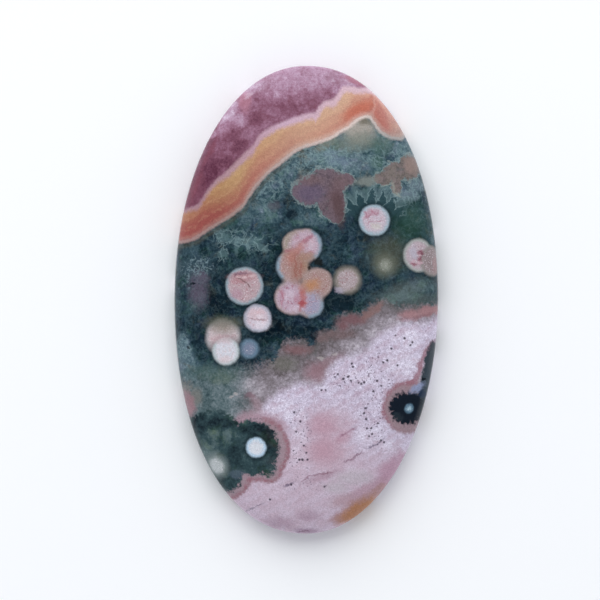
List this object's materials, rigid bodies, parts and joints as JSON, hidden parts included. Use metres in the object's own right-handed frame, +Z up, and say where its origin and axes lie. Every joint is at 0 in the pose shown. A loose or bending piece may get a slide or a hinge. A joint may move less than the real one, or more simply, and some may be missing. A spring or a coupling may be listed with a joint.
{
  "type": "ocean jasper cabochon",
  "caption": "Oval ocean jasper cabochon: a polished, low-domed stone with a flat back, for setting in a bezel or laying flat on a surface.",
  "frame": {"origin": "middle of the flat back, on the surface that the stone lies on", "axes": "+Y along the stone's long axis towards the mauve end, +X across it, +Z up through the dome"},
  "size_m": [0.0264, 0.0468, 0.0054],
  "materials": {
    "polished_jasper": "polished orbicular jasper: mauve, ochre and coral bands over moss green with cream and pink orbs, and lilac quartz below"
  },
  "bodies": {
    "root": {"cabochon": "polished_jasper"}
  },
  "joints": []
}
